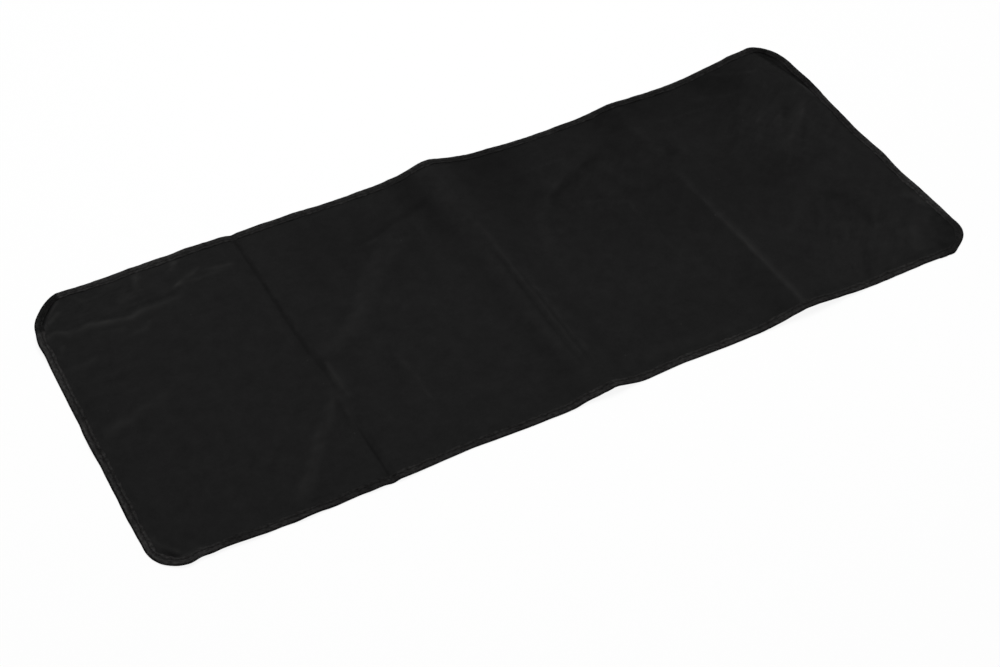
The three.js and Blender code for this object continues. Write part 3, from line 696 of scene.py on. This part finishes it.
def sectionContrast(stations):
    # along the binding, how strongly it shows the painted light and shade of its section, which differs
    # from side to side as the light falls
    x, y, outX, outY = stations
    side = binding["sideContrast"]
    contrast = (np.where(outX > 0, side["right"], side["left"]) * outX**2
                + np.where(outY > 0, side["far"], side["near"]) * outY**2)
    edgeX, edgeY = x + cover["cornerRadius"] * outX, y + cover["cornerRadius"] * outY
    flat = binding["flattened"]
    flattened = bell(np.hypot(edgeX - flat["x"], edgeY - flat["y"]) / flat["reach"])
    return contrast * (1 - flattened) * (1 + uneven(binding["contrastUneven"], edgeX, edgeY))


stitching = {
    "inset": 6.7, "topRise": 1.92, "topShare": 0.1, "underRise": 0.29, "underArch": 0.1 * mm,
    "Stitch Pitch": 3.4 * mm, "Stitch Length": 2.7 * mm, "Thread Radius": 0.22 * mm,
    "Arch": 0.16 * mm, "Jitter": 0.05, "Seed": 4,
}


def makeEdgeBinding():
    stations = bindingStations()
    rings = np.array([bindingRing(stations, *point[:-1]) for point in binding["section"]])
    ringCount, stationCount = rings.shape[:2]
    ring, station = np.meshgrid(np.arange(ringCount), np.arange(stationCount), indexing="ij")
    corners = ((0, 0), (0, 1), (1, 1), (1, 0))
    faces = np.stack([(ring + a) % ringCount * stationCount + (station + b) % stationCount
                      for a, b in corners], -1).reshape(-1, 4)
    mesh = bpy.data.meshes.new("edge_binding_tape")
    mesh.from_pydata(rings.reshape(-1, 3) * mm, [], faces.tolist())
    # the UV map runs in metres along the seam and across from the groove
    seam = bindingRing(stations, stitching["inset"], stitching["topRise"], stitching["topShare"])
    steps = np.linalg.norm(np.diff([*seam, seam[0]], axis=0), axis=1)
    along = np.concatenate([[0], np.cumsum(steps)])
    section = [point[:2] for point in binding["section"]]
    around = np.concatenate([[0], np.cumsum(np.hypot(*np.diff([*section, section[0]], axis=0).T))])
    around -= around[section.index(binding["groove"])]
    uv = np.stack([np.stack([along[station + b], around[ring + a]], -1) for a, b in corners], -2)
    mesh.uv_layers.new(name="tapePlan").data.foreach_set("uv", (uv * mm).ravel())
    paintedLightAndShade = np.array([point[-1] for point in binding["section"]])
    storePaintedLightAndShade(mesh, (paintedLightAndShade[:, None] * sectionContrast(stations) + stripToneAndPaintedLight(stations)).ravel())
    mesh.shade_smooth()
    return addObject("edge_binding_tape", mesh)


edgeBinding = makeEdgeBinding()
print("edge binding:", len(edgeBinding.data.polygons), "faces")


def feed(tree, node, inputs):
    # links or sets a node's inputs, by name or number
    for name, value in inputs.items():
        if isinstance(value, bpy.types.NodeSocket):
            tree.links.new(value, node.inputs[name])
        else:
            node.inputs[name].default_value = value


def nodeIn(tree, kind, inputs=None, **settings):
    node = tree.nodes.new(kind)
    for name, value in settings.items():
        setattr(node, name, value)
    feed(tree, node, inputs or {})
    return node


def maths(tree, operation, *values):
    return nodeIn(tree, "ShaderNodeMath", dict(enumerate(values)), operation=operation).outputs[0]


def vectors(tree, operation, first, second):
    inputs = {0: first, "Scale" if operation == "SCALE" else 1: second}
    return nodeIn(tree, "ShaderNodeVectorMath", inputs, operation=operation).outputs[0]


def combined(tree, *values):
    return nodeIn(tree, "ShaderNodeCombineXYZ", dict(enumerate(values))).outputs[0]


def separated(tree, vector):
    return nodeIn(tree, "ShaderNodeSeparateXYZ", {0: vector}).outputs


def varied(tree, high, low, share):
    # 1 + (high - low) * share
    return maths(tree, "ADD", 1.0, maths(tree, "MULTIPLY", maths(tree, "SUBTRACT", high, low), share))


def noise(tree, vector, scale, detail=2.0, **more):
    inputs = {"Vector": vector, "Scale": scale, "Detail": detail, **more}
    return nodeIn(tree, "ShaderNodeTexNoise", inputs).outputs


def newGroup(name, kind, **inputs):
    # inputs: the names of each kind of socket
    tree = bpy.data.node_groups.new(name, kind)
    for socketKind, names in inputs.items():
        for socket in names:
            tree.interface.new_socket(name=socket, in_out="INPUT", socket_type="NodeSocket" + socketKind)
    return tree, tree.nodes.new("NodeGroupInput").outputs


def finishGroup(tree, **results):
    # results: by kind of socket, the name and value of each
    for socketKind, values in results.items():
        for socket in values:
            tree.interface.new_socket(name=socket, in_out="OUTPUT", socket_type="NodeSocket" + socketKind)
    end = tree.nodes.new("NodeGroupOutput")
    for values in results.values():
        feed(tree, end, values)
    return tree


def stitchTree():
    tree, given = newGroup(
        "stitchRow", "GeometryNodeTree", Geometry=["Geometry"], Int=["Seed"], Material=["Thread"],
        Float=["Stitch Pitch", "Stitch Length", "Thread Radius", "Arch", "Jitter"])
    path = nodeIn(tree, "GeometryNodeMeshToCurve", {"Mesh": given["Geometry"]}).outputs[0]
    path = nodeIn(tree, "GeometryNodeSetCurveNormal", {"Curve": path}, mode="Z_UP").outputs[0]
    places = nodeIn(tree, "GeometryNodeCurveToPoints",
                    {"Curve": path, "Length": given["Stitch Pitch"]}, mode="LENGTH").outputs
    # one stitch: a low arch of thread whose ends sink into the tape
    half = maths(tree, "MULTIPLY", given["Stitch Length"], 0.5)
    sunk = maths(tree, "MULTIPLY", given["Arch"], -1.0)
    arch = nodeIn(tree, "GeometryNodeCurveQuadraticBezier", {
        "Resolution": 5, "Start": combined(tree, sunk, 0.0, maths(tree, "MULTIPLY", half, -1.0)),
        "Middle": combined(tree, maths(tree, "MULTIPLY", given["Arch"], 2.0)),
        "End": combined(tree, sunk, 0.0, half)}).outputs[0]
    profile = nodeIn(tree, "GeometryNodeCurvePrimitiveCircle",
                     {"Resolution": 6, "Radius": given["Thread Radius"]}).outputs[0]
    stitch = nodeIn(tree, "GeometryNodeCurveToMesh",
                    {"Curve": arch, "Profile Curve": profile, "Fill Caps": True}).outputs[0]
    back = maths(tree, "MULTIPLY", given["Jitter"], -1.0)
    turn = nodeIn(tree, "FunctionNodeRandomValue", {
        "Min": combined(tree, back, back), "Max": combined(tree, given["Jitter"], given["Jitter"]),
        "Seed": given["Seed"]}, data_type="FLOAT_VECTOR").outputs["Value"]
    row = nodeIn(tree, "GeometryNodeInstanceOnPoints", {
        "Points": places["Points"], "Instance": stitch, "Rotation": places["Rotation"]}).outputs[0]
    row = nodeIn(tree, "GeometryNodeRotateInstances", {"Instances": row, "Rotation": turn}).outputs[0]
    row = nodeIn(tree, "GeometryNodeRealizeInstances", {"Geometry": row}).outputs[0]
    row = nodeIn(tree, "GeometryNodeSetShadeSmooth", {"Geometry": row}).outputs[0]
    row = nodeIn(tree, "GeometryNodeSetMaterial", {"Geometry": row, "Material": given["Thread"]}).outputs[0]
    return finishGroup(tree, Geometry={"Geometry": row})


def inputOf(tree, name):
    return next(item.identifier for item in tree.interface.items_tree
                if item.in_out == "INPUT" and item.name == name)


def makeStitches(name, tree, thread, rise, topShare, arch):
    line = bindingRing(bindingStations(), stitching["inset"], rise, topShare)
    count = len(line)
    mesh = bpy.data.meshes.new(name)
    mesh.from_pydata(line * mm, [(i, (i + 1) % count) for i in range(count)], [])
    path = addObject(name + "Path", mesh)
    modifier = path.modifiers.new("stitches", "NODES")
    modifier.node_group = tree
    for setting in ("Stitch Pitch", "Stitch Length", "Thread Radius", "Jitter", "Seed"):
        modifier[inputOf(tree, setting)] = stitching[setting]
    modifier[inputOf(tree, "Arch")] = arch
    modifier[inputOf(tree, "Thread")] = thread
    path.update_tag()
    bpy.context.view_layer.update()
    return asPlainMesh(path, name)


def weaveGroup():
    # over and under threads: repeat 2 is a plain weave, 4 a twill
    tree, given = newGroup("threadWeave", "ShaderNodeTree", Vector=["Vector"],
                           Float=["Threads Per Metre", "Repeat", "Waver", "Gap Shade"])
    waverScale, middle = 900.0, (0.5, 0.5, 0.5)
    waver = noise(tree, given["Vector"], waverScale, 1.0)["Color"]
    waver = vectors(tree, "SUBTRACT", waver, middle)
    wavy = vectors(tree, "ADD", vectors(tree, "SCALE", given["Vector"], given["Threads Per Metre"]),
                   vectors(tree, "SCALE", waver, given["Waver"]))
    farAway = (9000.0, 9000.0, 0.0)  # keeps the counts positive
    u, v, _ = separated(tree, vectors(tree, "ADD", wavy, farAway))
    order = maths(tree, "ADD", maths(tree, "FLOOR", u), maths(tree, "FLOOR", v))
    warpOver = maths(tree, "LESS_THAN", maths(tree, "MODULO", order, given["Repeat"]),
                     maths(tree, "MULTIPLY", given["Repeat"], 0.5))
    side = maths(tree, "SUBTRACT", warpOver, 0.5)

    def threadHeight(across, along, lift):
        roundness = 3.6  # how fast a thread falls away to its sides
        offset = maths(tree, "SUBTRACT", maths(tree, "FRACT", across), 0.5)
        fallen = maths(tree, "MULTIPLY", maths(tree, "POWER", offset, 2.0), roundness)
        place = maths(tree, "SUBTRACT", maths(tree, "FRACT", along), 0.5)
        crown = maths(tree, "COSINE", maths(tree, "MULTIPLY", place, math.pi))
        raised = maths(tree, "ADD", 0.5, maths(tree, "MULTIPLY", lift, crown))
        return maths(tree, "MULTIPLY", maths(tree, "SUBTRACT", 1.0, fallen), raised)

    weft = threadHeight(v, u, maths(tree, "MULTIPLY", side, -1.0))
    height = maths(tree, "MAXIMUM", threadHeight(u, v, side), weft)
    gap = maths(tree, "SUBTRACT", 1.0, height)
    meanGap = 0.41  # with it the shade averages 1
    shade = varied(tree, meanGap, gap, given["Gap Shade"])
    return finishGroup(tree, Float={"Height": height, "Gap": gap, "Shade": shade})


def toneAndPaintedLightGroup():
    # patchy tone, and the lighter painted highlight colour where the mask says
    tree, given = newGroup("clothToneAndPaintedLight", "ShaderNodeTree", Vector=["Vector"], Color=["Color", "Painted Highlight Color"],
                           Float=["Painted Highlight", "Patch Size", "Patchiness"])
    patches = noise(tree, given["Vector"], given["Patch Size"], 5.0, Roughness=0.85)["Fac"]
    toned = vectors(tree, "SCALE", given["Color"], varied(tree, patches, 0.5, given["Patchiness"]))
    blend = nodeIn(tree, "ShaderNodeMix", {0: given["Painted Highlight"], 6: toned, 7: given["Painted Highlight Color"]},
                   data_type="RGBA").outputs[2]
    return finishGroup(tree, Color={"Color": blend}, Float={"Patches": patches})


def dentGroup():
    # the small dents between stitches, along U at V = 0
    tree, given = newGroup("stitchDents", "ShaderNodeTree", Vector=["Vector"], Float=["Pitch", "Reach"])
    u, v, _ = separated(tree, given["Vector"])
    gap = maths(tree, "SUBTRACT", maths(tree, "FRACT", maths(tree, "DIVIDE", u, given["Pitch"])), 0.5)
    along = maths(tree, "MULTIPLY", gap, given["Pitch"])
    away = maths(tree, "SQRT", maths(tree, "ADD", maths(tree, "POWER", along, 2.0),
                                     maths(tree, "POWER", v, 2.0)))
    dent = nodeIn(tree, "ShaderNodeMapRange", {
        "Value": away, "From Max": given["Reach"], "To Min": 1.0, "To Max": 0.0},
        interpolation_type="SMOOTHSTEP").outputs[0]
    return finishGroup(tree, Float={"Dent": dent})


def lintGroup():
    # a mask of a few short bits of lint
    tree, given = newGroup("lint", "ShaderNodeTree", Vector=["Vector"],
                           Float=["Cells Per Metre", "Size", "Share", "Bend"])
    bendScale = 400.0
    bend = vectors(tree, "SCALE", noise(tree, given["Vector"], bendScale)["Color"], given["Bend"])
    cells = nodeIn(tree, "ShaderNodeTexVoronoi", {
        "Vector": vectors(tree, "ADD", given["Vector"], bend), "Scale": given["Cells Per Metre"]},
        voronoi_dimensions="2D").outputs
    close = maths(tree, "LESS_THAN", cells["Distance"], given["Size"])
    pick = nodeIn(tree, "ShaderNodeSeparateColor", {0: cells["Color"]}).outputs[0]
    mask = maths(tree, "MULTIPLY", close, maths(tree, "LESS_THAN", pick, given["Share"]))
    return finishGroup(tree, Float={"Mask": mask})


groups = {"weave": weaveGroup(), "toneAndPaintedLight": toneAndPaintedLightGroup(), "dents": dentGroup(), "lint": lintGroup()}


def groupNode(tree, name, inputs):
    return nodeIn(tree, "ShaderNodeGroup", inputs, node_tree=groups[name]).outputs


def newMaterial(name, finish):
    material = bpy.data.materials.new(name)
    material.use_nodes = True
    shader = material.node_tree.nodes["Principled BSDF"]
    shader.inputs["Specular IOR Level"].default_value = finish["specular"]
    return material, material.node_tree, shader


def weaveAndPaintedLight(tree, plan, finish):
    # what the cloth and the tape share: their threads, their painted highlight colour and the painted shade
    # over it, in their folds and between their threads
    weave = groupNode(tree, "weave", {"Vector": plan, **finish["weave"]})
    paintedHighlight, paintedShade = (nodeIn(tree, "ShaderNodeAttribute", attribute_name=name).outputs["Fac"]
                     for name in ("paintedHighlight", "paintedShade"))
    toneAndPaintedLight = groupNode(tree, "toneAndPaintedLight", {"Vector": plan, "Painted Highlight": paintedHighlight, **finish["toneAndPaintedLight"]})
    lit = varied(tree, 0.0, paintedShade, finish["troughShade"])
    return weave, toneAndPaintedLight, maths(tree, "MULTIPLY", lit, weave["Shade"])


def between(tree, pair, share):
    return maths(tree, "ADD", pair[0], maths(tree, "MULTIPLY", share, pair[1] - pair[0]))


def bumped(tree, height, depth, **below):
    return nodeIn(tree, "ShaderNodeBump", {"Height": height, **depth, **below}).outputs[0]


clothFinish = {
    "weave": {"Threads Per Metre": 2900.0, "Repeat": 2.0, "Waver": 0.5, "Gap Shade": 0.6},
    "weaveDepth": {"Strength": 0.35, "Distance": 0.05 * mm},
    "toneAndPaintedLight": {"Color": (0.0102, 0.0102, 0.0102, 1), "Painted Highlight Color": (0.0215, 0.0213, 0.021, 1),
             "Patch Size": 50.0, "Patchiness": 1.0},
    "troughShade": 0.9, "roughness": (0.56, 0.66), "specular": 0.01,
    "lint": {"Cells Per Metre": 24.0, "Size": 0.014, "Share": 0.07, "Bend": 0.0016},
    "lintColor": (0.028, 0.028, 0.0275, 1),
    "crumpleScale": 170.0, "crumpleDepth": {"Strength": 0.6, "Distance": 0.12 * mm},
}


def makeClothMaterial():
    material, tree, shader = newMaterial("blackCloth", clothFinish)
    plan = nodeIn(tree, "ShaderNodeUVMap", uv_map="clothPlan").outputs[0]
    weave, toneAndPaintedLight, shade = weaveAndPaintedLight(tree, plan, clothFinish)
    shaded = vectors(tree, "SCALE", toneAndPaintedLight["Color"], shade)
    lint = groupNode(tree, "lint", {"Vector": plan, **clothFinish["lint"]})["Mask"]
    color = nodeIn(tree, "ShaderNodeMix", {0: lint, 6: shaded, 7: clothFinish["lintColor"]},
                   data_type="RGBA").outputs[2]
    crumple = noise(tree, plan, clothFinish["crumpleScale"], 4.0)["Fac"]
    soft = bumped(tree, crumple, clothFinish["crumpleDepth"])
    feed(tree, shader, {
        "Base Color": color, "Roughness": between(tree, clothFinish["roughness"], toneAndPaintedLight["Patches"]),
        "Normal": bumped(tree, weave["Height"], clothFinish["weaveDepth"], Normal=soft)})
    return material


tapeFinish = {
    "weave": {"Threads Per Metre": 2200.0, "Repeat": 4.0, "Waver": 0.25, "Gap Shade": 0.5},
    "weaveDepth": {"Strength": 0.5, "Distance": 0.08 * mm},
    "toneAndPaintedLight": {"Color": (0.0111, 0.0109, 0.0108, 1), "Painted Highlight Color": (0.0262, 0.0256, 0.0251, 1),
             "Patch Size": 160.0, "Patchiness": 1.6},
    "troughShade": 0.9, "roughness": (0.5, 0.62), "specular": 0.015,
    "grainStretch": (0.6, 1.0, 1.0), "grainScale": 430.0, "grainShare": 2.8,
    "dents": {"Pitch": stitching["Stitch Pitch"], "Reach": 1.0 * mm},
    "dentDepth": {"Strength": 1.0, "Distance": -0.3 * mm}, "dentShade": 0.5,
}


def makeTapeMaterial():
    material, tree, shader = newMaterial("bindingTape", tapeFinish)
    plan = nodeIn(tree, "ShaderNodeUVMap", uv_map="tapePlan").outputs[0]
    weave, toneAndPaintedLight, shade = weaveAndPaintedLight(tree, plan, tapeFinish)
    stretched = vectors(tree, "MULTIPLY", plan, tapeFinish["grainStretch"])
    grain = noise(tree, stretched, tapeFinish["grainScale"])["Fac"]
    dent = groupNode(tree, "dents", {"Vector": plan, **tapeFinish["dents"]})["Dent"]
    # the tape's grain, with painted shade in the dents between stitches
    grainAndDentShade = maths(tree, "MULTIPLY", varied(tree, grain, 0.5, tapeFinish["grainShare"]),
                  varied(tree, 0.0, dent, tapeFinish["dentShade"]))
    pulled = bumped(tree, dent, tapeFinish["dentDepth"])
    feed(tree, shader, {
        "Base Color": vectors(tree, "SCALE", toneAndPaintedLight["Color"], maths(tree, "MULTIPLY", shade, grainAndDentShade)),
        "Roughness": between(tree, tapeFinish["roughness"], weave["Gap"]),
        "Normal": bumped(tree, weave["Height"], tapeFinish["weaveDepth"], Normal=pulled)})
    return material


threadFinish = {
    "toneAndPaintedLight": {"Color": (0.0125, 0.0122, 0.012, 1), "Patch Size": 300.0, "Patchiness": 0.8},
    "roughness": 0.5, "specular": 0.02,
    "twistScale": 1600.0, "twistDepth": {"Strength": 0.5, "Distance": 0.06 * mm},
}


def makeThreadMaterial():
    material, tree, shader = newMaterial("sewingThread", threadFinish)
    place = nodeIn(tree, "ShaderNodeTexCoord").outputs["Object"]
    twist = noise(tree, place, threadFinish["twistScale"])["Fac"]
    toneAndPaintedLight = groupNode(tree, "toneAndPaintedLight", {"Vector": place, **threadFinish["toneAndPaintedLight"]})
    feed(tree, shader, {"Base Color": toneAndPaintedLight["Color"], "Roughness": threadFinish["roughness"],
                        "Normal": bumped(tree, twist, threadFinish["twistDepth"])})
    return material


clothPanel.data.materials.append(makeClothMaterial())
edgeBinding.data.materials.append(makeTapeMaterial())
thread, stitchNodes = makeThreadMaterial(), stitchTree()
topStitches = makeStitches("edge_stitches_top", stitchNodes, thread, stitching["topRise"],
                           stitching["topShare"], stitching["Arch"])
underStitches = makeStitches("edge_stitches_under", stitchNodes, thread, stitching["underRise"], 0,
                             -stitching["underArch"])
print("stitches:", len(topStitches.data.polygons), "faces a row")

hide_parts("cover_cloth")
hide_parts("edge_binding")
for piece in (clothPanel, edgeBinding, topStitches, underStitches):
    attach(piece, "root")

stage = {
    "floorSize": 60.0, "floorColor": (0.96, 0.96, 0.96, 1), "floorRoughness": 0.9, "specular": 0.1,
    "floorGlow": 0.9, "worldGlow": 1.0, "worldStrength": 0.24, "white": (1, 1, 1, 1),
}


def viewGlow(tree, plain, glow, share):
    # what the camera, gloss and glass see is nearer to plain white than what lights the cover
    path = nodeIn(tree, "ShaderNodeLightPath").outputs
    seen = maths(tree, "MAXIMUM", path["Is Camera Ray"],
                 maths(tree, "MAXIMUM", path["Is Glossy Ray"], path["Is Transmission Ray"]))
    factor = maths(tree, "MULTIPLY", seen, share)
    return nodeIn(tree, "ShaderNodeMixShader", {0: factor, 1: plain, 2: glow}).outputs[0]


def makeFloor():
    half = stage["floorSize"] / 2
    corners = [(-half, -half, 0), (half, -half, 0), (half, half, 0), (-half, half, 0)]
    mesh = bpy.data.meshes.new("floor")
    mesh.from_pydata(corners, [], [(0, 1, 2, 3)])
    floor = addObject("floor", mesh)
    material, tree, shader = newMaterial("floorWhite", stage)
    feed(tree, shader, {"Base Color": stage["floorColor"], "Roughness": stage["floorRoughness"]})
    glow = nodeIn(tree, "ShaderNodeEmission", {"Strength": 1.0}).outputs[0]
    seen = viewGlow(tree, shader.outputs[0], glow, stage["floorGlow"])
    feed(tree, tree.nodes["Material Output"], {"Surface": seen})
    floor.data.materials.append(material)


def makeWorld():
    world = bpy.data.worlds.new("studio")
    bpy.context.scene.world = world
    world.use_nodes = True
    tree = world.node_tree
    plain = tree.nodes["Background"]
    feed(tree, plain, {"Color": stage["white"], "Strength": stage["worldStrength"]})
    glow = nodeIn(tree, "ShaderNodeBackground", {"Color": stage["white"], "Strength": 1.0}).outputs[0]
    seen = viewGlow(tree, plain.outputs[0], glow, stage["worldGlow"])
    feed(tree, tree.nodes["World Output"], {"Surface": seen})


# bearing and elevation in degrees of where the lamp stands, its distance and size in metres, and
# the share of the light on a level surface that it gives
softbox = {"bearing": 75, "elevation": 78, "distance": 2.4, "size": 1.7, "share": 0.9}


def makeSoftbox():
    turn, rise = math.radians(softbox["bearing"]), math.radians(softbox["elevation"])
    toward = Vector((math.cos(turn) * math.cos(rise), math.sin(turn) * math.cos(rise), math.sin(rise)))
    lamp = bpy.data.lights.new("topSoftbox", "AREA")
    lamp.shape = "RECTANGLE"
    lamp.size = lamp.size_y = softbox["size"]
    lamp.energy = softbox["share"] * math.pi**2 * softbox["distance"]**2 / toward.z
    holder = addObject("topSoftbox", lamp)
    holder.location = toward * softbox["distance"]
    holder.rotation_euler = toward.to_track_quat("Z", "Y").to_euler()
    holder.visible_camera = False


shot = {
    "azimuth": -30.172, "elevation": 46.571, "roll": 1.789, "lens": 64.67, "sensor": 36.0,
    "distance": 1.9098, "aim": (-0.0528, -0.0712, 0.0),
}


def makeCamera():
    azimuth, elevation = math.radians(shot["azimuth"]), math.radians(shot["elevation"])
    back = Vector((math.sin(azimuth) * math.cos(elevation), -math.cos(azimuth) * math.cos(elevation),
                   math.sin(elevation)))
    camera = bpy.data.cameras.new("camera")
    camera.lens, camera.sensor_width = shot["lens"], shot["sensor"]
    holder = addObject("camera", camera)
    holder.location = Vector(shot["aim"]) + back * shot["distance"]
    holder.rotation_mode = "QUATERNION"
    level = (-back).to_track_quat("-Z", "Y")
    holder.rotation_quaternion = level @ Quaternion((0, 0, 1), math.radians(shot["roll"]))
    bpy.context.scene.camera = holder


makeFloor()
makeWorld()
makeSoftbox()
makeCamera()
bpy.context.scene.view_settings.view_transform = "Standard"
print("stage, lamp and camera are set")
